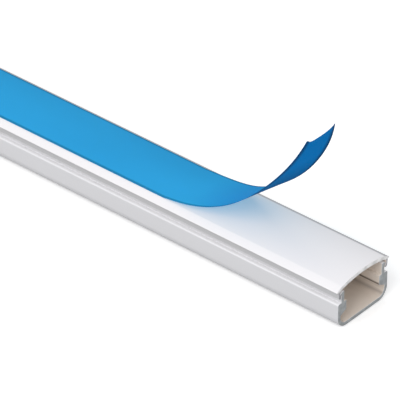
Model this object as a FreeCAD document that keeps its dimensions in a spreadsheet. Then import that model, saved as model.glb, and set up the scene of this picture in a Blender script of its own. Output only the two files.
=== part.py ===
import FreeCAD, Part
import Sketcher
import math
import os
from dataclasses import dataclass

# Cord cover raceway: a channel and a snap-on cover, both extruded, with a film peeling off the cover.
# Units are millimetres and degrees. X runs along the length, Y across, Z up from the underside.

Vector = FreeCAD.Vector

# Driving dimensions

SIZES = {
    # length of all three pieces
    "stock_length": 400.0,
    # base channel
    "base_width": 14.2,
    "base_wall": 0.8,
    "base_floor": 0.8,
    "base_corner": 2.5,
    "floor_corner": 1.6,
    "shoulder_height": 5.6,
    "shoulder_round": 0.4,
    "head_width": 2.4,
    "head_depth": 2.0,
    "head_slope": 0.8,
    "neck_inset": 0.95,
    "neck_wall": 0.8,
    "neck_rise": 2.35,
    "lip_reach": 0.35,
    "lip_drop": 0.8,
    # cover
    "cover_width": 15.0,
    "cover_wall": 0.85,
    "cover_height": 10.1,
    "cover_camber": 0.8,
    "bevel_width": 1.4,
    "bevel_drop": 0.85,
    "tip_edge": 0.15,
    "leg_drop": 1.85,
    "leg_inset": 0.4,
    "leg_draft": 0.12,
    "hook_rise": 0.45,
    "hook_chamfer": 0.3,
    # running gap between the cover's hooks and the base's necks
    "slide_gap": 0.15,
    # protective film
    "film_width": 12.2,
    "film_sheet": 0.12,
    "film_gap": 0.08,
    "peel_length": 39.7,
    "easing_length": 2.0,
    "flatten_length": 5.8,
    # how far short of the cover's end the film was cut, how much further at the far edge, and the ear
    # that the cut left at the near corner
    "film_trim": 1.3,
    "cut_skew": 0.9,
    "ear_reach": 1.5,
    "ear_width": 1.5,
    # radius of the curl at even steps of its centre line, from where it leaves the cover
    "root_radius": 18.2,
    "early_radius": 34.8,
    "late_radius": 35.1,
    "end_radius": 38.7,
    # lean of the bend lines at even steps of the same line
    "root_lean": -23.6,
    "early_lean": 32.9,
    "inner_lean": -5.9,
    "middle_lean": -20.1,
    "outer_lean": -38.9,
    "late_lean": -56.9,
    "end_lean": -63.6,
}

# Places worked out from the driving dimensions, as formulas of the sheet

PLACES = {
    # base
    "base_side": "=base_width / 2",
    "corner_start": "=base_side - base_corner",
    "shoulder_low": "=shoulder_height - shoulder_round",
    "shoulder_end": "=base_side - shoulder_round",
    "neck_outer": "=base_side - neck_inset",
    "neck_inner": "=neck_outer - neck_wall",
    "neck_top": "=shoulder_height + neck_rise",
    "lip_outer": "=neck_outer + lip_reach",
    "lip_foot": "=neck_top - lip_drop",
    "lip_low": "=lip_foot + lip_reach",
    "lip_high": "=neck_top - lip_reach",
    "head_inner": "=base_side - head_width",
    "head_low": "=shoulder_height - head_depth",
    "slope_low": "=head_low - head_slope",
    "wall_inner": "=base_side - base_wall",
    "wall_foot": "=base_floor + floor_corner",
    "floor_end": "=wall_inner - floor_corner",
    # cover
    "tip_side": "=cover_width / 2",
    "plateau_side": "=tip_side - bevel_width",
    "plateau_top": "=cover_height - cover_camber",
    "tip_top": "=plateau_top - bevel_drop",
    "tip_low": "=tip_top - tip_edge",
    "crown_radius": "=(plateau_side ^ 2 + cover_camber ^ 2) / (2 * cover_camber)",
    "roof_top": "=cover_height - cover_wall",
    "roof_low": "=plateau_top - cover_wall",
    "leg_outer": "=tip_side - leg_inset",
    "leg_toe": "=leg_outer - leg_draft",
    "leg_low": "=tip_top - leg_drop",
    "toe_high": "=leg_low + hook_chamfer",
    "toe_inner": "=leg_toe - hook_chamfer",
    "hook_inner": "=neck_outer + slide_gap",
    "leg_inner": "=lip_outer + slide_gap",
    "hook_top": "=leg_low + hook_rise",
    "hook_back": "=hook_top + leg_inner - hook_inner",
    "eave_height": "=neck_top + slide_gap",
}

doc = FreeCAD.newDocument("cord_cover_raceway")
sheet = doc.addObject("Spreadsheet::Sheet", "sizes")
for row, (name, value) in enumerate([*SIZES.items(), *PLACES.items()], start=1):
    sheet.set(f"A{row}", name)
    sheet.set(f"B{row}", str(value))
    sheet.setAlias(f"B{row}", name)
doc.recompute()


def size(name):
    """Return one value of the sheet by its name."""
    return float(sheet.get(name))


# Profiles of the extrusions, each the half on the +Y side


@dataclass(frozen=True)
class Corner:
    """One corner of a profile, with the arc that leads from it to the next corner, if any."""

    across: str
    height: str
    radius: str = ""
    bulge: int = 1


BASE_PROFILE = [
    Corner("", ""),
    Corner("corner_start", "", "base_corner"),
    Corner("base_side", "base_corner"),
    Corner("base_side", "shoulder_low", "shoulder_round"),
    Corner("shoulder_end", "shoulder_height"),
    Corner("neck_outer", "shoulder_height"),
    Corner("neck_outer", "lip_foot"),
    Corner("lip_outer", "lip_low"),
    Corner("lip_outer", "lip_high"),
    Corner("neck_outer", "neck_top"),
    Corner("neck_inner", "neck_top"),
    Corner("neck_inner", "shoulder_height"),
    Corner("head_inner", "shoulder_height"),
    Corner("head_inner", "head_low"),
    Corner("wall_inner", "slope_low"),
    Corner("wall_inner", "wall_foot", "floor_corner", -1),
    Corner("floor_end", "base_floor"),
    Corner("", "base_floor"),
]

COVER_PROFILE = [
    Corner("", "roof_top", "crown_radius", -1),
    Corner("plateau_side", "roof_low"),
    Corner("leg_inner", "eave_height"),
    Corner("leg_inner", "hook_back"),
    Corner("hook_inner", "hook_top"),
    Corner("hook_inner", "leg_low"),
    Corner("toe_inner", "leg_low"),
    Corner("leg_toe", "toe_high"),
    Corner("leg_outer", "tip_low"),
    Corner("tip_side", "tip_low"),
    Corner("tip_side", "tip_top"),
    Corner("plateau_side", "plateau_top", "crown_radius"),
    Corner("", "cover_height"),
]


def corner_point(corner):
    """Place of a corner in its sketch."""
    across = size(corner.across) if corner.across else 0.0
    height = size(corner.height) if corner.height else 0.0
    return Vector(across, height, 0)


def edge_between(corner, start, finish):
    """Line or arc from one corner of a profile to the next; a bulge of 1 lies outside on its right."""
    if not corner.radius:
        return Part.LineSegment(start, finish)
    chord = finish - start
    radius = size(corner.radius)
    sagitta = radius - math.sqrt(radius**2 - (chord.Length / 2) ** 2)
    outward = Vector(chord.y, -chord.x, 0).normalize()
    return Part.Arc(start, start + chord * 0.5 + outward * sagitta * corner.bulge, finish)


def pin(sketch, edge, end, corner):
    """Fix one end of an edge at its corner's place in the sheet."""
    for kind, axis, name in (("DistanceX", -2, corner.across), ("DistanceY", -1, corner.height)):
        if not name:
            sketch.addConstraint(Sketcher.Constraint("PointOnObject", edge, end, axis))
            continue
        held = sketch.addConstraint(Sketcher.Constraint(kind, -1, 1, edge, end, size(name)))
        sketch.setExpression(f"Constraints[{held}]", f"sizes.{name}")


def half_profile(body, name, corners):
    """Sketch a closed half profile across the length of its body."""
    sketch = body.newObject("Sketcher::SketchObject", name)
    plane = next(item for item in body.Origin.OriginFeatures if item.Role == "YZ_Plane")
    sketch.AttachmentSupport = [(plane, "")]
    sketch.MapMode = "FlatFace"
    points = [corner_point(corner) for corner in corners]
    ends = []
    for index, corner in enumerate(corners):
        start = points[index]
        finish = points[(index + 1) % len(points)]
        edge = sketch.addGeometry(edge_between(corner, start, finish), False)
        first = 1 if sketch.getPoint(edge, 1).distanceToPoint(start) < 1e-6 else 2
        ends.append((edge, first, 3 - first))
    for index, corner in enumerate(corners):
        edge, first, last = ends[index]
        next_edge, next_first, _ = ends[(index + 1) % len(ends)]
        sketch.addConstraint(Sketcher.Constraint("Coincident", edge, last, next_edge, next_first))
        pin(sketch, edge, first, corner)
        if corner.radius:
            held = sketch.addConstraint(Sketcher.Constraint("Radius", edge, size(corner.radius)))
            sketch.setExpression(f"Constraints[{held}]", f"sizes.{corner.radius}")
    return sketch


def extrusion(name, corners):
    """Body of one extruded piece: its half profile padded along X and mirrored over the middle."""
    body = doc.addObject("PartDesign::Body", name)
    body.Label = name
    profile = half_profile(body, f"{name}_profile", corners)
    half = body.newObject("PartDesign::Pad", f"{name}_half")
    half.Profile = profile
    half.SideType = "Symmetric"
    half.setExpression("Length", "sizes.stock_length")
    doc.recompute()
    whole = body.newObject("PartDesign::Mirrored", f"{name}_whole")
    whole.Originals = [half]
    middle = next(item for item in body.Origin.OriginFeatures if item.Role == "XZ_Plane")
    whole.MirrorPlane = (middle, [""])
    whole.Refine = True
    body.Tip = whole
    doc.recompute()
    return body


# Protective film: a flat strip that stays on the cover's crown and curls off it at the near end.
# The curl bends without stretching, so the strip keeps its flat length and width.

CURL_STEPS = 100
ROW_STEP = 0.7
LEAD_ROWS = 3
COLUMNS = 9

RADII = ["root_radius", "early_radius", "late_radius", "end_radius"]
LEANS = [
    "root_lean",
    "early_lean",
    "inner_lean",
    "middle_lean",
    "outer_lean",
    "late_lean",
    "end_lean",
]

curl_bends = [1.0 / size(name) for name in RADII]
curl_slopes = [math.tan(math.radians(size(name))) for name in LEANS]
# the centre line is drawn on past the cut end, since the last bend lines reach back to the far edge
curl_reach = 1.4 * size("peel_length")


@dataclass(frozen=True)
class Frame:
    """Place on the strip's centre line and its three directions there."""

    point: Vector
    along: Vector
    across: Vector
    out: Vector


def between(values, share):
    """Value at a share of the way along evenly spaced values, on a smooth curve through them."""
    place = min(max(share, 0.0), 1.0) * (len(values) - 1)
    index = min(int(place), len(values) - 2)
    part = place - index
    rises = [later - sooner for sooner, later in zip(values, values[1:])]
    rise = rises[index]
    slope_in = (rises[max(index - 1, 0)] + rise) / 2
    slope_out = (rise + rises[min(index + 1, len(rises) - 1)]) / 2
    square = 3 * rise - 2 * slope_in - slope_out
    cube = slope_in + slope_out - 2 * rise
    return values[index] + part * (slope_in + part * (square + part * cube))


def curl_bend(run):
    """Curvature of the strip at a run from the root of its curl, where it starts straight."""
    easing = min(run / size("easing_length"), 1.0)
    return easing * between(curl_bends, run / curl_reach)


def bend_line_slope(run):
    """Shift along the strip for each millimetre across it, on the bend line at this run."""
    return between(curl_slopes, run / curl_reach)


def centre_line():
    """Frames at even steps along the strip's centre line, from the root of its curl."""
    step = curl_reach / CURL_STEPS
    laid_height = size("cover_height") + size("film_gap")
    root = Vector(size("stock_length") / 2 - size("peel_length"), 0, laid_height)
    frames = [Frame(root, Vector(1, 0, 0), Vector(0, 1, 0), Vector(0, 0, 1))]
    for index in range(CURL_STEPS):
        last = frames[-1]
        run = (index + 0.5) * step
        bend = curl_bend(run)
        turn = last.across * -bend + last.along * (-bend * bend_line_slope(run))
        spin = FreeCAD.Rotation(turn, math.degrees(turn.Length * step))
        along = spin.multVec(last.along)
        point = last.point + (last.along + along) * (step / 2)
        frames.append(Frame(point, along, spin.multVec(last.across), spin.multVec(last.out)))
    return frames, step


def run_of(material, across):
    """Run of the bend line through a place given by its length along and across the flat strip."""
    low, high = -size("stock_length"), curl_reach
    for _ in range(40):
        middle = (low + high) / 2
        if middle + bend_line_slope(middle) * across < material:
            low = middle
        else:
            high = middle
    return (low + high) / 2


def strip_point(frames, step, material, across):
    """Underside and top side of the strip at one place of the flat strip."""
    crown = size("crown_radius")
    camber = crown - math.sqrt(crown**2 - across**2)
    run = run_of(material, across)
    if run <= 0:
        root = frames[0]
        under = root.point + root.along * material + root.across * across - root.out * camber
        return under, under + root.out * size("film_sheet")
    place = min(run / step, len(frames) - 1.001)
    index = int(place)
    near, far = frames[index], frames[index + 1]
    share = place - index
    point = near.point + (far.point - near.point) * share
    along = near.along + (far.along - near.along) * share
    side = near.across + (far.across - near.across) * share
    out = near.out + (far.out - near.out) * share
    fading = camber * math.exp(-run / size("flatten_length"))
    under = point + (side + along * bend_line_slope(run)) * across - out * fading
    return under, under + out * size("film_sheet")


def cut_end(across):
    """Flat length from the root of the curl to the strip's cut end, at a place across it."""
    inset = across + size("film_width") / 2
    skew = size("cut_skew") * inset / size("film_width")
    ear = size("ear_reach") * math.exp(-((inset / size("ear_width")) ** 2))
    return size("peel_length") - size("film_trim") - skew + ear


def curled_part(lead):
    """Faces of the strip from a lead before the root of the curl to its cut end, its start face last."""
    frames, step = centre_line()
    half = size("film_width") / 2
    columns = [half * (2 * index / (COLUMNS - 1) - 1) for index in range(COLUMNS)]
    count = math.ceil((size("peel_length") + lead) / ROW_STEP)
    grid = []
    for row in range(count + 1):
        places = [-lead + (cut_end(column) + lead) * row / count for column in columns]
        grid.append([strip_point(frames, step, *place) for place in zip(places, columns)])
    sides = []
    for side in (0, 1):
        surface = Part.BSplineSurface()
        surface.interpolate([[pair[side] for pair in line] for line in grid])
        sides.append(surface.toShape())
    rims = [Part.makeRuledSurface(under, top) for under, top in zip(sides[0].Edges, sides[1].Edges)]
    rims.sort(key=lambda rim: rim.CenterOfMass.x, reverse=True)
    return sides + rims


def film_shape():
    """Closed solid of the strip, from its laid end to the free end of its curl."""
    lead = LEAD_ROWS * ROW_STEP
    faces = curled_part(lead)
    shell = Part.makeShell(faces)
    shell.sewShape()
    curled = Part.makeSolid(shell)
    if curled.Volume < 0:
        curled.reverse()
    laid = size("stock_length") - size("peel_length") - lead
    straight = faces[-1].extrude(Vector(-laid, 0, 0))
    if straight.Volume < 0:
        straight.reverse()
    return straight.fuse(curled).removeSplitter().Solids[0]


def strip(name):
    """Feature that holds the film's solid."""
    feature = doc.addObject("Part::Feature", name)
    feature.Label = name
    feature.Shape = film_shape()
    feature.Placement = FreeCAD.Placement()
    return feature


pieces = [
    extrusion("base", BASE_PROFILE),
    extrusion("cover", COVER_PROFILE),
    strip("film"),
]
doc.recompute()

# Checks and export

for item in doc.Objects:
    if "Invalid" in item.State or "Error" in item.State:
        raise RuntimeError(f"{item.Label} did not recompute")

os.makedirs("parts", exist_ok=True)
for piece in pieces:
    if piece.Shape.isNull() or not piece.Shape.isValid():
        raise RuntimeError(f"{piece.Label} has no sound shape")
    piece.Shape.exportStep(f"parts/{piece.Label}.step")
    box = piece.Shape.BoundBox
    print(
        piece.Label,
        f"{box.XLength:.2f} x {box.YLength:.2f} x {box.ZLength:.2f} mm,",
        f"{piece.Shape.Volume / 1000:.2f} cm3, {len(piece.Shape.Solids)} solid",
    )
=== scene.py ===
import logging
import math
from dataclasses import dataclass, field
from enum import Enum

import bmesh
import bpy
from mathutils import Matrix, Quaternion, Vector

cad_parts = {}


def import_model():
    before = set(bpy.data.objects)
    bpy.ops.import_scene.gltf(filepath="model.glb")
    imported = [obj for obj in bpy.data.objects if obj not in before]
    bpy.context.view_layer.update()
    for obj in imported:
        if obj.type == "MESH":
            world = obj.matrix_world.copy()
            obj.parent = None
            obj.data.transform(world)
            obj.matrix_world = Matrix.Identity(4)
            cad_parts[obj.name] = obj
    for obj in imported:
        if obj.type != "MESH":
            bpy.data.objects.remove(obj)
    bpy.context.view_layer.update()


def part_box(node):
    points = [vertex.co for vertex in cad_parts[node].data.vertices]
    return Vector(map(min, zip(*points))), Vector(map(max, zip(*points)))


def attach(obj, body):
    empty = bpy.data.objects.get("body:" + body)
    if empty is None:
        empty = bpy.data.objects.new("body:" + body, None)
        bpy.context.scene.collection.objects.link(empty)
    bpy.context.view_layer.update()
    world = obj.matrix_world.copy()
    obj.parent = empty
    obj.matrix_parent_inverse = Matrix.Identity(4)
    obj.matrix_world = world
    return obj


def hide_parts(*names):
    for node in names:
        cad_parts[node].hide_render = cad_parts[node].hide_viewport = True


# Looks of a cord cover raceway: two white extrusions that snap together, and a blue film peeling off.
# Blender's metres are worked out here from millimetres. X runs along the length and Z points up.

MM = 0.001
# free space between the two sides of the film in its UV map
GUTTER_MM = 2.0
# a profile point nearer the middle line than this lies on it
ON_MIDDLE_MM = 1e-6
LOG = logging.getLogger("raceway")

Colour = tuple[float, float, float, float]
Triple = tuple[float, float, float]
Span = tuple[float, float]
Socket = bpy.types.NodeSocket
Tree = bpy.types.NodeTree
WHITE: Colour = (1.0, 1.0, 1.0, 1.0)


def linear(hex_colour: str) -> Colour:
    """Turn an sRGB hex colour into the linear values that Blender's sockets take.

    Args:
        hex_colour: Six hex digits after a number sign.

    Returns:
        Linear red, green and blue, with an alpha of 1.
    """
    channels = [int(hex_colour[place : place + 2], 16) / 255 for place in (1, 3, 5)]
    red, green, blue = (c / 12.92 if c <= 0.04045 else ((c + 0.055) / 1.055) ** 2.4 for c in channels)
    return red, green, blue, 1.0


def add_node(tree: Tree, kind: str, inputs: dict | None = None, **settings: object) -> bpy.types.Node:
    """Add one node to a tree, with its settings and its inputs.

    Args:
        tree: Tree that gets the node.
        kind: Node's type name.
        inputs: What an input gets, by its name or number: a socket to link in, or a plain value.
        settings: Attributes of the node itself.

    Returns:
        The new node.
    """
    node = tree.nodes.new(kind)
    for name, value in settings.items():
        setattr(node, name, value)
    for name, value in (inputs or {}).items():
        if isinstance(value, Socket):
            tree.links.new(value, node.inputs[name])
        else:
            node.inputs[name].default_value = value
    return node


def worked_out(tree: Tree, operation: str, *operands: Socket | float) -> Socket:
    """Result of one sum on sockets and plain numbers.

    Args:
        tree: Tree that gets the sum.
        operation: Operation of a math node.
        operands: What it works on, in order.

    Returns:
        The socket of the result.
    """
    return add_node(tree, "ShaderNodeMath", dict(enumerate(operands)), operation=operation).outputs[0]


def ranged(
    tree: Tree,
    value: Socket,
    span: tuple[Socket | float, Socket | float] = (0.0, 1.0),
    result: tuple[Socket | float, Socket | float] = (0.0, 1.0),
) -> Socket:
    """Map a value from one range to another, and hold it within the second.

    Args:
        tree: Tree of the material.
        value: Socket of the value.
        span: Values that give the start and the end of the second range.
        result: Start and end of the second range.

    Returns:
        The socket of the mapped value.
    """
    inputs = {"Value": value, "From Min": span[0], "From Max": span[1]}
    inputs |= {"To Min": result[0], "To Max": result[1]}
    return add_node(tree, "ShaderNodeMapRange", inputs).outputs[0]


def noise(
    tree: Tree,
    place: Socket,
    size_mm: float,
    detail: float,
    squeeze: Triple = (1.0, 1.0, 1.0),
) -> Socket:
    """Soft noise over an object, drawn out along an axis where the squeeze is under 1.

    Args:
        tree: Tree of the material.
        place: Socket of the place on the object.
        size_mm: Size of its patches in millimetres.
        detail: Number of finer layers.
        squeeze: Share by which each axis is shortened before the noise is laid on it.

    Returns:
        The socket of the noise, from 0 to 1.
    """
    laid = add_node(tree, "ShaderNodeMapping", {"Vector": place, "Scale": squeeze}).outputs[0]
    inputs = {"Vector": laid, "Scale": 1 / (size_mm * MM), "Detail": detail}
    return add_node(tree, "ShaderNodeTexNoise", inputs).outputs["Fac"]


def mixed(tree: Tree, share: Socket, low: Socket | Colour, high: Socket | Colour) -> Socket:
    """Mix two colours.

    Args:
        tree: Tree of the material.
        share: Socket with the share of the second colour.
        low: First colour.
        high: Second colour.

    Returns:
        The socket of the mixed colour.
    """
    inputs = {"Factor": share, 6: low, 7: high}
    return add_node(tree, "ShaderNodeMix", inputs, data_type="RGBA").outputs[2]


def scaled(tree: Tree, colour: Socket, share: Socket) -> Socket:
    """Darken or lighten a colour by a share."""
    inputs = {0: colour, "Scale": share}
    return add_node(tree, "ShaderNodeVectorMath", inputs, operation="SCALE").outputs[0]


def blank_material(name: str) -> tuple[bpy.types.Material, Tree, bpy.types.Node]:
    """Make an empty node material.

    Args:
        name: Name of the material.

    Returns:
        The material, its tree and its output node.
    """
    material = bpy.data.materials.new(name)
    material.use_nodes = True
    tree = material.node_tree
    tree.nodes.clear()
    return material, tree, add_node(tree, "ShaderNodeOutputMaterial")


# Finishes


@dataclass(frozen=True)
class ExtrudedPvc:
    """Rigid white PVC as it leaves the die: satin, with faint lines along its length and a sawn end.

    The lines and the slow drift in shade keep a long highlight from looking drawn. The upright flanks
    are painted a little greyer, a painted shade, and so is the bevel on the far side. The inside is
    painted warmer and a little darker, standing in for the warm light that comes through the thin
    walls and bounces inside, with dark brown lines of painted shade along its creases. The sawn ends
    have fine marks and patches where the blade smeared the plastic, and the cut ends of the cover's
    hooks are painted darker, a painted shade.

    The facing pairs say how squarely a face looks along X, towards +Y or along Y where a finish
    starts, and where it is whole.
    """

    name: str
    body: str
    shade: str
    # painted shade on the bevel on the far side
    far: str
    # painted shade on the upright flanks
    flank_shade: str
    # painted light: a warmer, slightly darker tone for faces inside the cable way
    inside: str
    sawn: str
    # painted shade for the cut ends of the cover's hooks
    sawn_hook_shade: str
    roughness: float
    sawn_roughness: float = 0.65
    end_facing: Span = (0.85, 0.98)
    far_shade_facing: Span = (0.32, 0.5)
    flank_shade_facing: Span = (0.8, 0.97)
    die_line_mm: float = 0.7
    die_line_squeeze: Triple = (0.02, 1.0, 1.0)
    die_line_depth_mm: float = 0.006
    die_line_strength: float = 0.35
    saw_mark_mm: float = 0.35
    saw_mark_squeeze: Triple = (1.0, 0.25, 1.0)
    saw_mark_depth_mm: float = 0.02
    saw_mark_strength: float = 0.6
    smear_mm: float = 1.4
    smear_span: Span = (0.35, 0.65)
    smear_shade: Span = (0.82, 1.14)
    drift_mm: float = 45.0
    # painted shade: dark brown lines along the creases inside, with their band width and heights
    crease_shade: str = "#3a2718"
    shade_band_mm: float = 0.4
    crease_shade_lines_mm: tuple[Span, ...] = ()
    hook_mm: float = 0.0
    ior: float = 1.53

    def build(self) -> bpy.types.Material:
        """Make the material.

        Returns:
            The finished material.
        """
        material, tree, output = blank_material(self.name)
        place = add_node(tree, "ShaderNodeTexCoord").outputs["Object"]
        height = add_node(tree, "ShaderNodeSeparateXYZ", {0: place}).outputs["Z"]
        facing = add_node(tree, "ShaderNodeNewGeometry").outputs["Normal"]
        parts = add_node(tree, "ShaderNodeSeparateXYZ", {0: facing}).outputs
        inside = add_node(tree, "ShaderNodeAttribute", attribute_name="inside").outputs["Fac"]

        drift = noise(tree, place, self.drift_mm, detail=2.0)
        skin = mixed(tree, drift, linear(self.body), linear(self.shade))
        # painted shade: the bevel on the far side, turned from the light, is painted greyer
        far_shade_mask = ranged(tree, parts["Y"], self.far_shade_facing)
        skin = mixed(tree, far_shade_mask, skin, linear(self.far))
        # painted shade: faces that look sideways, the upright flanks, are painted greyer
        flank_shade_mask = ranged(tree, worked_out(tree, "ABSOLUTE", parts["Y"]), self.flank_shade_facing)
        skin = mixed(tree, flank_shade_mask, skin, linear(self.flank_shade))
        # painted light: the inside is painted warmer and a little darker, for the warm light that comes
        # through the thin walls and bounces inside
        skin = mixed(tree, inside, skin, linear(self.inside))
        # painted shade: dark brown lines on the inside faces, in the crease under the head and where the
        # floor curves up
        for line, share in self.crease_shade_lines_mm:
            gap = worked_out(tree, "ABSOLUTE", worked_out(tree, "SUBTRACT", height, line * MM))
            crease_shaded = ranged(tree, gap, (self.shade_band_mm * MM, 0.0), (0.0, share))
            crease_shaded = worked_out(tree, "MULTIPLY", crease_shaded, inside)
            skin = mixed(tree, crease_shaded, skin, linear(self.crease_shade))

        # painted shade: the cut ends below hook_mm, the cover's hooks, are painted darker
        low = ranged(tree, height, (self.hook_mm * MM, (self.hook_mm - self.shade_band_mm) * MM))
        sawn = mixed(tree, low, linear(self.sawn), linear(self.sawn_hook_shade))
        smear = noise(tree, place, self.smear_mm, detail=2.0)
        sawn = scaled(tree, sawn, ranged(tree, smear, self.smear_span, self.smear_shade))
        cut = ranged(tree, worked_out(tree, "ABSOLUTE", parts["X"]), self.end_facing)
        colour = mixed(tree, cut, skin, sawn)
        rough = ranged(tree, cut, result=(self.roughness, self.sawn_roughness))

        lines = add_node(
            tree,
            "ShaderNodeBump",
            {
                "Height": noise(tree, place, self.die_line_mm, detail=3.0, squeeze=self.die_line_squeeze),
                "Strength": self.die_line_strength,
                "Distance": self.die_line_depth_mm * MM,
            },
        ).outputs[0]
        bump = add_node(
            tree,
            "ShaderNodeBump",
            {
                "Height": noise(tree, place, self.saw_mark_mm, detail=4.0, squeeze=self.saw_mark_squeeze),
                "Strength": worked_out(tree, "MULTIPLY", cut, self.saw_mark_strength),
                "Distance": self.saw_mark_depth_mm * MM,
                "Normal": lines,
            },
        ).outputs[0]
        shader = add_node(
            tree,
            "ShaderNodeBsdfPrincipled",
            {"Base Color": colour, "Roughness": rough, "Normal": bump, "IOR": self.ior},
        )
        tree.links.new(shader.outputs[0], output.inputs["Surface"])
        return material


@dataclass(frozen=True)
class BlownFilm:
    """Blue polyethylene film, blown and slit: thin, softly glossy, and lit through from above.

    Over the white cover it looks sky blue, and it is painted deeper where it has left it, a painted
    shade, because less light comes back through it. Its sticky underside is the same blue painted
    darker, a deep blue as painted shade, darkest towards the fold. The slit edges are darker still,
    and a blue tint falls on what lies below the film.

    The pairs lift_mm and fold_mm are places along the strip from the root of the curl: where the
    finish starts, and where it is whole. The two rim shares are those of the top and the underside.
    """

    name: str
    face: str
    lifted_shade: str
    underside: str
    rim: str
    glow: str
    clear: str
    width: float
    rim_mm: float = 2.2
    slit_mm: float = 0.6
    edge_mm: float = 0.3
    rim_shares: Span = (0.45, 0.85)
    roughness: float = 0.5
    specular: float = 0.02
    ripple_mm: float = 9.0
    ripple_squeeze: Triple = (0.35, 1.0, 1.0)
    ripple_depth_mm: float = 0.05
    ripple_strength: float = 0.3
    ripple_shade: Span = (0.9, 1.08)
    glow_share: float = 0.55
    clear_share: float = 0.9
    lift_mm: Span = (5.0, 19.0)
    fold_mm: Span = (33.0, 22.0)
    fold_shade_share: float = 0.6
    ior: float = 1.51

    def build(self) -> bpy.types.Material:
        """Make the material.

        Returns:
            The finished material.
        """
        material, tree, output = blank_material(self.name)
        half = self.width / 2
        flat = add_node(tree, "ShaderNodeUVMap", uv_map="strip").outputs[0]
        strip = add_node(tree, "ShaderNodeSeparateXYZ", {0: flat}).outputs
        under = worked_out(tree, "GREATER_THAN", strip["X"], self.width + GUTTER_MM / 2)
        across = worked_out(tree, "MODULO", strip["X"], self.width + GUTTER_MM)
        inset = worked_out(tree, "ABSOLUTE", worked_out(tree, "SUBTRACT", across, half))
        rim_from = ranged(tree, under, result=(half - self.slit_mm, half - self.rim_mm))
        rim_share = ranged(tree, under, result=self.rim_shares)
        rim = ranged(tree, inset, (rim_from, half - self.edge_mm), (0.0, rim_share))
        # painted shade: the underside darkens towards the fold
        fold = ranged(tree, strip["Y"], self.fold_mm, (0.0, self.fold_shade_share))
        rim = worked_out(tree, "MAXIMUM", rim, worked_out(tree, "MULTIPLY", fold, under))

        place = add_node(tree, "ShaderNodeTexCoord").outputs["Object"]
        ripple = noise(tree, place, self.ripple_mm, detail=2.0, squeeze=self.ripple_squeeze)
        # painted shade: where the film has left the cover its top is painted deeper
        lift_shade_mask = ranged(tree, strip["Y"], self.lift_mm)
        top = mixed(tree, lift_shade_mask, linear(self.face), linear(self.lifted_shade))
        # painted shade: the underside is the film's blue painted darker
        colour = mixed(tree, under, top, linear(self.underside))
        colour = scaled(tree, colour, ranged(tree, ripple, result=self.ripple_shade))
        colour = mixed(tree, rim, colour, linear(self.rim))
        bump = add_node(
            tree,
            "ShaderNodeBump",
            {
                "Height": ripple,
                "Strength": self.ripple_strength,
                "Distance": self.ripple_depth_mm * MM,
            },
        ).outputs[0]
        face = add_node(
            tree,
            "ShaderNodeBsdfPrincipled",
            {
                "Base Color": colour,
                "Normal": bump,
                "Roughness": self.roughness,
                "IOR": self.ior,
                "Specular IOR Level": self.specular,
            },
        ).outputs[0]
        passed = mixed(tree, rim, linear(self.glow), linear(self.rim))
        glow = add_node(tree, "ShaderNodeBsdfTranslucent", {"Color": passed, "Normal": bump}).outputs[0]
        sheet = add_node(tree, "ShaderNodeMixShader", {0: self.glow_share, 1: face, 2: glow}).outputs[0]
        # the film is hazy rather than milky: most light that reaches the cover went straight through
        rays = add_node(tree, "ShaderNodeLightPath").outputs
        lit = worked_out(tree, "MAXIMUM", rays["Is Shadow Ray"], rays["Is Diffuse Ray"])
        lit = worked_out(tree, "MULTIPLY", lit, self.clear_share)
        tinted = add_node(tree, "ShaderNodeBsdfTransparent", {"Color": linear(self.clear)}).outputs[0]
        sheet = add_node(tree, "ShaderNodeMixShader", {0: lit, 1: sheet, 2: tinted}).outputs[0]
        # light that is already inside the sheet leaves it freely, so the film tints it only once
        inner = add_node(tree, "ShaderNodeNewGeometry").outputs["Backfacing"]
        free = add_node(tree, "ShaderNodeBsdfTransparent").outputs[0]
        sheet = add_node(tree, "ShaderNodeMixShader", {0: inner, 1: sheet, 2: free}).outputs[0]
        tree.links.new(sheet, output.inputs["Surface"])
        return material


@dataclass(frozen=True)
class StudioPaper:
    """Seamless white paper under the object: white to the camera, and a mid grey as a reflector.

    A little light of its own, the lift, keeps it white to the camera in the object's surroundings.
    """

    name: str = "seamless_paper"
    seen: str = "#f2f2f2"
    bounced: str = "#b8b8b8"
    lift: float = 0.3
    roughness: float = 0.9
    specular: float = 0.2

    def build(self) -> bpy.types.Material:
        """Make the material.

        Returns:
            The finished material.
        """
        material, tree, output = blank_material(self.name)
        camera = add_node(tree, "ShaderNodeLightPath").outputs["Is Camera Ray"]
        shader = add_node(
            tree,
            "ShaderNodeBsdfPrincipled",
            {
                "Base Color": mixed(tree, camera, linear(self.bounced), linear(self.seen)),
                "Emission Strength": worked_out(tree, "MULTIPLY", camera, self.lift),
                "Emission Color": WHITE,
                "Roughness": self.roughness,
                "Specular IOR Level": self.specular,
            },
        )
        tree.links.new(shader.outputs[0], output.inputs["Surface"])
        return material


# Extrusions


@dataclass(frozen=True)
class Corner:
    """One corner of a profile in millimetres, with the arc that leads from it to the next corner.

    A bulge of 1 puts the arc outside the straight line, seen from an outline that runs anticlockwise.
    """

    across: float
    height: float
    radius: float = 0.0
    bulge: int = 1


class Body(Enum):
    """The bodies that pieces ride on."""

    BASE = "base"
    COVER = "cover"


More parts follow.
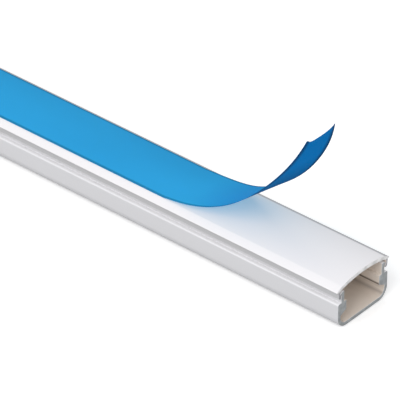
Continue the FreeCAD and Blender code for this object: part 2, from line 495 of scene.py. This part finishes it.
def outline(corners: list[Corner], arc_step_deg: float = 2.5) -> list[Vector]:
    """Points of a half profile, with its arcs divided finely, mirrored to the whole profile.

    Args:
        corners: Corners of the half on the +Y side, first and last on the middle line.
        arc_step_deg: Largest angle between two points on an arc.

    Returns:
        Points in metres, in order round the whole profile, each once.
    """
    half: list[Vector] = []
    for corner, following in zip(corners, corners[1:]):
        start = Vector((corner.across, corner.height))
        finish = Vector((following.across, following.height))
        half.append(start)
        if not corner.radius:
            continue
        chord = finish - start
        side = Vector((chord.y, -chord.x)).normalized() * corner.bulge
        rise = math.sqrt(corner.radius**2 - (chord.length / 2) ** 2)
        centre = start + chord / 2 - side * rise
        sweep = 2 * math.asin(chord.length / 2 / corner.radius)
        steps = max(2, math.ceil(math.degrees(sweep) / arc_step_deg))
        arm = start - centre
        for index in range(1, steps):
            turn = sweep * index / steps * corner.bulge
            cos, sin = math.cos(turn), math.sin(turn)
            half.append(centre + Vector((arm.x * cos - arm.y * sin, arm.x * sin + arm.y * cos)))
    half.append(Vector((corners[-1].across, corners[-1].height)))
    mirrored = [Vector((-point.x, point.y)) for point in reversed(half) if point.x > ON_MIDDLE_MM]
    return [point * MM for point in half + mirrored]


def extrusion_tree(name: str) -> Tree:
    """Geometry Nodes that sweep a closed profile along X, cap both ends and set a finish.

    Args:
        name: Name of the tree.

    Returns:
        A tree with the inputs Geometry, Length and Finish.
    """
    tree = bpy.data.node_groups.new(name, "GeometryNodeTree")
    for label, way, kind in (
        ("Geometry", "INPUT", "NodeSocketGeometry"),
        ("Length", "INPUT", "NodeSocketFloat"),
        ("Finish", "INPUT", "NodeSocketMaterial"),
        ("Geometry", "OUTPUT", "NodeSocketGeometry"),
    ):
        tree.interface.new_socket(label, in_out=way, socket_type=kind)
    given = add_node(tree, "NodeGroupInput").outputs
    half = worked_out(tree, "MULTIPLY", given["Length"], 0.5)
    back = worked_out(tree, "MULTIPLY", half, -1.0)
    start = add_node(tree, "ShaderNodeCombineXYZ", {"X": back}).outputs[0]
    end = add_node(tree, "ShaderNodeCombineXYZ", {"X": half}).outputs[0]
    path = add_node(tree, "GeometryNodeCurvePrimitiveLine", {"Start": start, "End": end}).outputs[0]
    profile = add_node(tree, "GeometryNodeMeshToCurve", {"Mesh": given["Geometry"]}).outputs[0]
    inputs = {"Curve": path, "Profile Curve": profile, "Fill Caps": True}
    swept = add_node(tree, "GeometryNodeCurveToMesh", inputs).outputs[0]
    real = add_node(tree, "GeometryNodeRealizeInstances", {"Geometry": swept}).outputs[0]
    inputs = {"Geometry": real, "Material": given["Finish"]}
    dressed = add_node(tree, "GeometryNodeSetMaterial", inputs).outputs[0]
    add_node(tree, "NodeGroupOutput", {"Geometry": dressed})
    return tree


def mesh_object(name: str, mesh: bpy.types.Mesh) -> bpy.types.Object:
    """Put a mesh in the scene as an object at the origin."""
    made = bpy.data.objects.new(name, mesh)
    bpy.context.scene.collection.objects.link(made)
    return made


def settle(made: bpy.types.Object) -> None:
    """Turn an object's modifiers into a plain mesh.

    Args:
        made: Object with live modifiers.
    """
    graph = bpy.context.evaluated_depsgraph_get()
    result = bpy.data.meshes.new_from_object(made.evaluated_get(graph))
    made.modifiers.clear()
    made.data = result


@dataclass
class Extrusion:
    """A straight extruded piece, swept from its profile and eased along its edges.

    The way values are levels on the middle line of the cable way. A face looks into the cable way
    where it faces the low level, or the high one for a face within the half width.
    """

    name: str
    body: Body
    slot: str
    corners: list[Corner]
    length: float
    easing_mm: float
    way_low_mm: float = 5.0
    way_high_mm: float = 7.5
    way_half_mm: float = 5.4
    end_tilt: float = 0.3
    easing_segments: int = 3
    easing_from_deg: float = 9.0
    crisp_from_deg: float = 35.0
    seam_mm: float = 0.001

    def build(self, tree: Tree, finish: bpy.types.Material) -> None:
        """Make the piece in place of its CAD node.

        Args:
            tree: Geometry Nodes that sweep the profile.
            finish: Material of the piece.
        """
        points = outline(self.corners)
        mesh = bpy.data.meshes.new(f"{self.name}_profile")
        loop = [(index, (index + 1) % len(points)) for index in range(len(points))]
        # a sweep along X turns a profile upside down
        mesh.from_pydata([(point.x, -point.y, 0.0) for point in points], loop, [])
        piece = mesh_object(f"{self.name}_extrusion", mesh)
        sweep = piece.modifiers.new("sweep", "NODES")
        sweep.node_group = tree
        sockets = tree.interface.items_tree
        inputs = {socket.name: socket.identifier for socket in sockets if socket.in_out == "INPUT"}
        sweep[inputs["Length"]] = self.length
        sweep[inputs["Finish"]] = finish
        settle(piece)
        self.face_outwards(piece.data)
        easing = piece.modifiers.new("easing", "BEVEL")
        easing.width = self.easing_mm * MM
        easing.segments = self.easing_segments
        easing.limit_method = "ANGLE"
        easing.angle_limit = math.radians(self.easing_from_deg)
        settle(piece)
        self.shade(piece.data)
        self.mark_inside(piece.data)
        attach(piece, self.body.value)
        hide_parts(self.name)
        LOG.info("%s: %d faces", piece.name, len(piece.data.polygons))

    def face_outwards(self, mesh: bpy.types.Mesh) -> None:
        """Merge the seams of a swept mesh and turn its faces outwards."""
        work = bmesh.new()
        work.from_mesh(mesh)
        bmesh.ops.remove_doubles(work, verts=work.verts, dist=self.seam_mm * MM)
        bmesh.ops.recalc_face_normals(work, faces=work.faces)
        work.to_mesh(mesh)
        work.free()

    def mark_inside(self, mesh: bpy.types.Mesh) -> None:
        """Note which faces look into the cable way, in a face attribute of 0 or 1.

        Args:
            mesh: Mesh of the piece.
        """
        inside = mesh.attributes.new("inside", "FLOAT", "FACE")
        for face in mesh.polygons:
            levels = [self.way_low_mm]
            if abs(face.center.y) < self.way_half_mm * MM:
                levels.append(self.way_high_mm)
            looks_in = any(
                face.normal.dot(Vector((0, -face.center.y, level * MM - face.center.z))) > 0
                for level in levels
            )
            inside.data[face.index].value = float(looks_in and abs(face.normal.x) < self.end_tilt)

    def shade(self, mesh: bpy.types.Mesh) -> None:
        """Shade the long faces smoothly and keep the corners crisp."""
        mesh.shade_smooth()
        mesh.set_sharp_from_angle(angle=math.radians(self.crisp_from_deg))


@dataclass
class BaseChannel:
    """The channel that is fixed to the wall, sizes in millimetres."""

    width: float = 14.2
    wall: float = 0.8
    floor: float = 0.8
    corner: float = 2.5
    floor_corner: float = 1.6
    shoulder_height: float = 5.6
    shoulder_round: float = 0.4
    head_width: float = 2.4
    head_depth: float = 2.0
    head_slope: float = 0.8
    neck_inset: float = 0.95
    neck_wall: float = 0.8
    neck_rise: float = 2.35
    lip_reach: float = 0.35
    lip_drop: float = 0.8

    @property
    def neck_outer(self) -> float:
        """Distance of the neck's outer face from the middle."""
        return self.width / 2 - self.neck_inset

    @property
    def head_low(self) -> float:
        """Height of the low edge of the head's inner face."""
        return self.shoulder_height - self.head_depth

    @property
    def neck_top(self) -> float:
        """Height of the neck's top."""
        return self.shoulder_height + self.neck_rise

    def corners(self) -> list[Corner]:
        """Corners of the half profile, from the underside round to the floor."""
        side = self.width / 2
        inside = side - self.wall
        neck = self.neck_outer
        lip = neck + self.lip_reach
        foot = self.neck_top - self.lip_drop
        head_low = self.head_low
        return [
            Corner(0, 0),
            Corner(side - self.corner, 0, self.corner),
            Corner(side, self.corner),
            Corner(side, self.shoulder_height - self.shoulder_round, self.shoulder_round),
            Corner(side - self.shoulder_round, self.shoulder_height),
            Corner(neck, self.shoulder_height),
            Corner(neck, foot),
            Corner(lip, foot + self.lip_reach),
            Corner(lip, self.neck_top - self.lip_reach),
            Corner(neck, self.neck_top),
            Corner(neck - self.neck_wall, self.neck_top),
            Corner(neck - self.neck_wall, self.shoulder_height),
            Corner(side - self.head_width, self.shoulder_height),
            Corner(side - self.head_width, head_low),
            Corner(inside, head_low - self.head_slope),
            Corner(inside, self.floor + self.floor_corner, self.floor_corner, -1),
            Corner(inside - self.floor_corner, self.floor),
            Corner(0, self.floor),
        ]


@dataclass
class SnapCover:
    """The cover that hooks over the channel's necks, sizes in millimetres."""

    base: BaseChannel
    width: float = 15.0
    wall: float = 0.85
    height: float = 10.1
    camber: float = 0.8
    bevel_width: float = 1.4
    bevel_drop: float = 0.85
    tip_edge: float = 0.15
    leg_drop: float = 1.85
    leg_inset: float = 0.4
    leg_draft: float = 0.12
    hook_rise: float = 0.45
    hook_chamfer: float = 0.3
    slide_gap: float = 0.15

    @property
    def plateau_side(self) -> float:
        """Distance of the crown's edge from the middle."""
        return self.width / 2 - self.bevel_width

    @property
    def crown_radius(self) -> float:
        """Radius of the domed crown."""
        return (self.plateau_side**2 + self.camber**2) / (2 * self.camber)

    def corners(self) -> list[Corner]:
        """Corners of the half profile, from the underside of the crown round to its top."""
        tip = self.width / 2
        plateau_top = self.height - self.camber
        tip_top = plateau_top - self.bevel_drop
        tip_low = tip_top - self.tip_edge
        leg_outer = tip - self.leg_inset
        leg_toe = leg_outer - self.leg_draft
        leg_low = tip_top - self.leg_drop
        hook = self.base.neck_outer + self.slide_gap
        leg_inner = hook + self.base.lip_reach
        return [
            Corner(0, self.height - self.wall, self.crown_radius, -1),
            Corner(self.plateau_side, plateau_top - self.wall),
            Corner(leg_inner, self.base.neck_top + self.slide_gap),
            Corner(leg_inner, leg_low + self.hook_rise + leg_inner - hook),
            Corner(hook, leg_low + self.hook_rise),
            Corner(hook, leg_low),
            Corner(leg_toe - self.hook_chamfer, leg_low),
            Corner(leg_toe, leg_low + self.hook_chamfer),
            Corner(leg_outer, tip_low),
            Corner(tip, tip_low),
            Corner(tip, tip_top),
            Corner(self.plateau_side, plateau_top, self.crown_radius),
            Corner(0, self.height),
        ]


# Protective film


def between(values: list[float], share: float) -> float:
    """Value at a share of the way along evenly spaced values, on a smooth curve through them.

    Args:
        values: Two or more evenly spaced values.
        share: Share of the way from the first value to the last.

    Returns:
        The value there.
    """
    place = min(max(share, 0.0), 1.0) * (len(values) - 1)
    index = min(int(place), len(values) - 2)
    part = place - index
    rises = [later - sooner for sooner, later in zip(values, values[1:])]
    rise = rises[index]
    slope_in = (rises[max(index - 1, 0)] + rise) / 2
    slope_out = (rise + rises[min(index + 1, len(rises) - 1)]) / 2
    square = 3 * rise - 2 * slope_in - slope_out
    cube = slope_in + slope_out - 2 * rise
    return values[index] + part * (slope_in + part * (square + part * cube))


@dataclass(frozen=True)
class StripFrame:
    """Place on the film's centre line and its three directions there."""

    point: Vector
    along: Vector
    across: Vector
    out: Vector


@dataclass
class ProtectiveFilm:
    """The strip of film that lies on the cover's crown and curls off it, sizes in millimetres.

    It bends without stretching: straight bend lines cross it, and each leans a little. The radii and
    the leans are given at even steps along the reach, from the root of the curl, and the bend eases in
    over the easing length. The crown's camber fades out of the strip over the flatten length. The cut
    end is a little short of the strip's full length, slants, and keeps an ear at its near corner.
    """

    cover: SnapCover
    length: float
    width: float = 12.2
    sheet: float = 0.06
    gap: float = 0.08
    peel_length: float = 42.2
    easing_length: float = 7.1
    flatten_length: float = 6.9
    trim: float = 1.3
    cut_skew: float = 1.6
    ear_reach: float = 1.1
    ear_width: float = 1.5
    radii: list[float] = field(default_factory=lambda: [22.5, 22.7, 37.7, 33.2, 25.4, 22.9])
    leans_deg: list[float] = field(
        default_factory=lambda: [0.9, 23.4, 7.3, 3.5, -20.0, -33.8, -47.5, -56.3, -62.2]
    )
    reach_share: float = 1.4
    curl_steps: int = 160
    halvings: int = 40
    laid_rows: int = 40
    lead_rows: int = 10
    row_step: float = 0.6
    columns: int = 28
    crisp_from_deg: float = 60.0

    @property
    def reach(self) -> float:
        """Length over which the frames are worked out, a little past the cut end."""
        return self.reach_share * self.peel_length

    def bend(self, run: float) -> float:
        """Curvature at a run from the root of the curl, where the strip starts straight."""
        easing = min(run / self.easing_length, 1.0)
        return easing * between([1 / radius for radius in self.radii], run / self.reach)

    def slope(self, run: float) -> float:
        """Shift along the strip per millimetre across it, on the bend line at this run."""
        slopes = [math.tan(math.radians(lean)) for lean in self.leans_deg]
        return between(slopes, run / self.reach)

    def frames(self) -> list[StripFrame]:
        """Frames at even steps along the peeled part and a little past its end."""
        step = self.reach / self.curl_steps
        root = Vector((self.length / 2 - self.peel_length, 0, self.cover.height + self.gap))
        made = [StripFrame(root, Vector((1, 0, 0)), Vector((0, 1, 0)), Vector((0, 0, 1)))]
        for index in range(self.curl_steps):
            last = made[-1]
            run = (index + 0.5) * step
            turn = -self.bend(run) * (last.across + last.along * self.slope(run))
            spin = Quaternion(turn.normalized(), turn.length * step)
            along = spin @ last.along
            point = last.point + (last.along + along) * (step / 2)
            made.append(StripFrame(point, along, spin @ last.across, spin @ last.out))
        return made

    def run_of(self, material: float, across: float) -> float:
        """Run of the bend line through a place of the flat strip.

        Args:
            material: Place along the flat strip, from the root of the curl.
            across: Place across it, from the middle.

        Returns:
            The run where that bend line crosses the centre line.
        """
        low, high = -self.length, self.reach
        for _ in range(self.halvings):
            middle = (low + high) / 2
            if middle + self.slope(middle) * across < material:
                low = middle
            else:
                high = middle
        return (low + high) / 2

    def place(self, frames: list[StripFrame], material: float, across: float) -> tuple[Vector, Vector]:
        """Underside of the strip and its outward direction at one place of the flat strip.

        Args:
            frames: Frames of the centre line.
            material: Place along the flat strip, from the root of the curl.
            across: Place across it, from the middle.

        Returns:
            The point and the direction, in millimetres.
        """
        crown = self.cover.crown_radius
        camber = crown - math.sqrt(crown**2 - across**2)
        run = self.run_of(material, across)
        root = frames[0]
        if run <= 0:
            lean = across / crown
            out = Vector((0, math.sin(lean), math.cos(lean)))
            return root.point + root.along * material + root.across * across - root.out * camber, out
        step = self.reach / self.curl_steps
        index = min(int(run / step), len(frames) - 2)
        share = run / step - index
        near, far = frames[index], frames[index + 1]
        point = near.point.lerp(far.point, share)
        along = near.along.lerp(far.along, share)
        side = near.across.lerp(far.across, share)
        out = near.out.lerp(far.out, share)
        fading = math.exp(-run / self.flatten_length)
        under = point + (side + along * self.slope(run)) * across - out * camber * fading
        return under, (out + side * (across / crown * fading)).normalized()

    def cut_end(self, across: float) -> float:
        """Flat length from the root of the curl to the cut end, which has an ear at one corner."""
        inset = across + self.width / 2
        ear = self.ear_reach * math.exp(-((inset / self.ear_width) ** 2))
        return self.peel_length - self.trim - self.cut_skew * inset / self.width + ear

    def build(self, finish: bpy.types.Material) -> None:
        """Make the film in place of its CAD node.

        Args:
            finish: Material of the film.
        """
        frames = self.frames()
        laid = self.length - self.peel_length
        lead = self.lead_rows * self.row_step
        starts = [-laid + (laid - lead) * index / self.laid_rows for index in range(self.laid_rows)]
        across = [self.width * (index / self.columns - 0.5) for index in range(self.columns + 1)]
        count = math.ceil((self.peel_length + lead) / self.row_step)
        rows = [[start] * len(across) for start in starts]
        for index in range(count + 1):
            rows.append([-lead + (self.cut_end(column) + lead) * index / count for column in across])
        under: list[Vector] = []
        top: list[Vector] = []
        for row in rows:
            for material, column in zip(row, across):
                point, out = self.place(frames, material, column)
                under.append(point * MM)
                top.append((point + out * self.sheet) * MM)
        mesh = bpy.data.meshes.new("film_strip")
        mesh.from_pydata(under + top, [], self.faces(len(rows), len(across)))
        mesh.materials.append(finish)
        self.unwrap(mesh, rows, across)
        piece = mesh_object("film_strip", mesh)
        mesh.shade_smooth()
        mesh.set_sharp_from_angle(angle=math.radians(self.crisp_from_deg))
        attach(piece, Body.COVER.value)
        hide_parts("film")
        LOG.info("%s: %d faces", piece.name, len(mesh.polygons))

    def unwrap(self, mesh: bpy.types.Mesh, rows: list[list[float]], across: list[float]) -> None:
        """Lay both sides of the strip flat in a UV map in millimetres, the underside beside the top.

        Args:
            mesh: Mesh of the strip.
            rows: Place along the flat strip of every point, row by row.
            across: Place of each column across it.
        """
        flat = mesh.uv_layers.new(name="strip")
        count = len(rows) * len(across)
        for loop in mesh.loops:
            under, index = loop.vertex_index < count, loop.vertex_index % count
            row, column = divmod(index, len(across))
            side = across[column] + self.width / 2 + (self.width + GUTTER_MM) * under
            flat.data[loop.index].uv = (side, rows[row][column])

    @staticmethod
    def faces(rows: int, columns: int) -> list[tuple[int, int, int, int]]:
        """Faces of a closed thin strip with its underside's points first and its top's after.

        Args:
            rows: Number of points along the strip.
            columns: Number of points across it.

        Returns:
            Corner indices of every face, seen anticlockwise from outside.
        """
        count = rows * columns
        last = columns - 1
        end = (rows - 1) * columns
        made = []
        for row in range(rows - 1):
            for column in range(columns - 1):
                near = row * columns + column
                far = near + columns
                made.append((near, near + 1, far + 1, far))
                made.append((count + near, count + far, count + far + 1, count + near + 1))
        for row in range(rows - 1):
            near = row * columns
            far = near + columns
            made.append((near, far, count + far, count + near))
            made.append((near + last, count + near + last, count + far + last, far + last))
        for near in range(columns - 1):
            far = end + near
            made.append((near, count + near, count + near + 1, near + 1))
            made.append((far, far + 1, count + far + 1, count + far))
        return made


# Studio


@dataclass
class Studio:
    """Camera, lamps and floor round the object, in metres, with the azimuth from -Y towards +X."""

    azimuth_deg: float = 40.526
    elevation_deg: float = 35.064
    distance: float = 0.8357
    aim: Triple = (0.15926, 0.00249, 0.005)
    lens_mm: float = 405.9
    floor_half: float = 12.0

    def camera(self) -> None:
        """Set up the camera at the photograph's viewing angle."""
        data = bpy.data.cameras.new("camera")
        data.lens = self.lens_mm
        data.sensor_width = 36.0
        data.clip_start = 0.01
        data.clip_end = 50.0
        camera = bpy.data.objects.new("camera", data)
        turn = math.radians(self.azimuth_deg)
        rise = math.radians(self.elevation_deg)
        level = math.cos(rise)
        back = Vector((math.sin(turn) * level, -math.cos(turn) * level, math.sin(rise)))
        camera.location = Vector(self.aim) + back * self.distance
        camera.rotation_euler = (-back).to_track_quat("-Z", "Y").to_euler()
        bpy.context.scene.collection.objects.link(camera)
        bpy.context.scene.camera = camera

    def lamp(self, name: str, place: Triple, size: float, power: float) -> None:
        """Add one soft square lamp that points at the object.

        Args:
            name: Name of the lamp.
            place: Its place in metres.
            size: Length of its side in metres.
            power: Its power in watts.
        """
        data = bpy.data.lights.new(name, "AREA")
        data.shape = "SQUARE"
        data.size = size
        data.energy = power
        lamp = bpy.data.objects.new(name, data)
        lamp.location = place
        towards = Vector(self.aim) - Vector(place)
        lamp.rotation_euler = towards.to_track_quat("-Z", "Y").to_euler()
        bpy.context.scene.collection.objects.link(lamp)

    def world(self, light: float) -> None:
        """Surround the object with white, plain to the camera and dimmer as a light.

        Args:
            light: Strength of the surroundings as a light.
        """
        world = bpy.data.worlds.new("surroundings")
        world.use_nodes = True
        tree = world.node_tree
        tree.nodes.clear()
        seen = add_node(tree, "ShaderNodeLightPath").outputs["Is Camera Ray"]
        inputs = {"Color": WHITE, "Strength": ranged(tree, seen, result=(light, 1.0))}
        shader = add_node(tree, "ShaderNodeBackground", inputs).outputs[0]
        add_node(tree, "ShaderNodeOutputWorld", {"Surface": shader})
        bpy.context.scene.world = world

    def floor(self, finish: bpy.types.Material, top: float) -> None:
        """Lay the floor just under the object.

        Args:
            finish: Material of the floor.
            top: Height of its top in metres.
        """
        half = self.floor_half
        mesh = bpy.data.meshes.new("floor")
        square = [(-half, -half), (half, -half), (half, half), (-half, half)]
        mesh.from_pydata([(x, y, top) for x, y in square], [], [(0, 1, 2, 3)])
        mesh.materials.append(finish)
        mesh_object("floor", mesh)

    def build(self) -> None:
        """Set up the whole studio."""
        self.camera()
        self.world(light=0.68)
        self.lamp("softbox_front", place=(0.3, -1.3, 1.15), size=1.4, power=17.0)
        self.lamp("softbox_end", place=(1.3, -0.1, 0.45), size=0.9, power=1.3)
        self.floor(StudioPaper().build(), top=-0.0001)
        bpy.context.scene.view_settings.view_transform = "Standard"


def main() -> None:
    """Build every piece round the CAD frame, then the studio."""
    logging.basicConfig(level=logging.INFO, format="%(name)s: %(message)s")
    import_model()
    low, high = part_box("base")
    length = high.x - low.x

    base = BaseChannel()
    cover = SnapCover(base)
    tree = extrusion_tree("extrusion")
    # height and share of each line of painted shade: in the crease under the head's low edge, and paler
    # where the floor curves up
    crease_shade_lines = ((base.head_low + 0.15, 0.95), (base.floor + 0.4, 0.4))
    base_finish = ExtrudedPvc(
        name="extruded_pvc_base",
        body="#e9e9ec",
        shade="#e2e2e6",
        far="#e2e2e6",
        flank_shade="#d9d9dc",
        inside="#e6dbd0",
        sawn="#a9adaf",
        sawn_hook_shade="#a9adaf",
        roughness=0.38,
        crease_shade_lines_mm=crease_shade_lines,
    )
    cover_finish = ExtrudedPvc(
        name="extruded_pvc_cover",
        body="#eeecee",
        shade="#e8e6e9",
        far="#bcbcc0",
        flank_shade="#c7c7c9",
        inside="#e9ddd2",
        sawn="#f1f1f1",
        sawn_hook_shade="#a4a4aa",
        roughness=0.3,
        hook_mm=8.5,
    )
    film = ProtectiveFilm(cover, length / MM)
    film_finish = BlownFilm(
        name="blown_polyethylene_film",
        face="#48cbee",
        lifted_shade="#3c90ca",
        underside="#002868",
        rim="#00284c",
        glow="#009cf4",
        clear="#86c6ea",
        width=film.width,
    )
    channel = Extrusion("base", Body.BASE, "base_pvc", base.corners(), length, easing_mm=0.1)
    channel.build(tree, base_finish.build())
    lid = Extrusion("cover", Body.COVER, "cover_pvc", cover.corners(), length, easing_mm=0.1)
    lid.build(tree, cover_finish.build())
    film.build(film_finish.build())
    Studio().build()


if __name__ == "__main__":
    main()
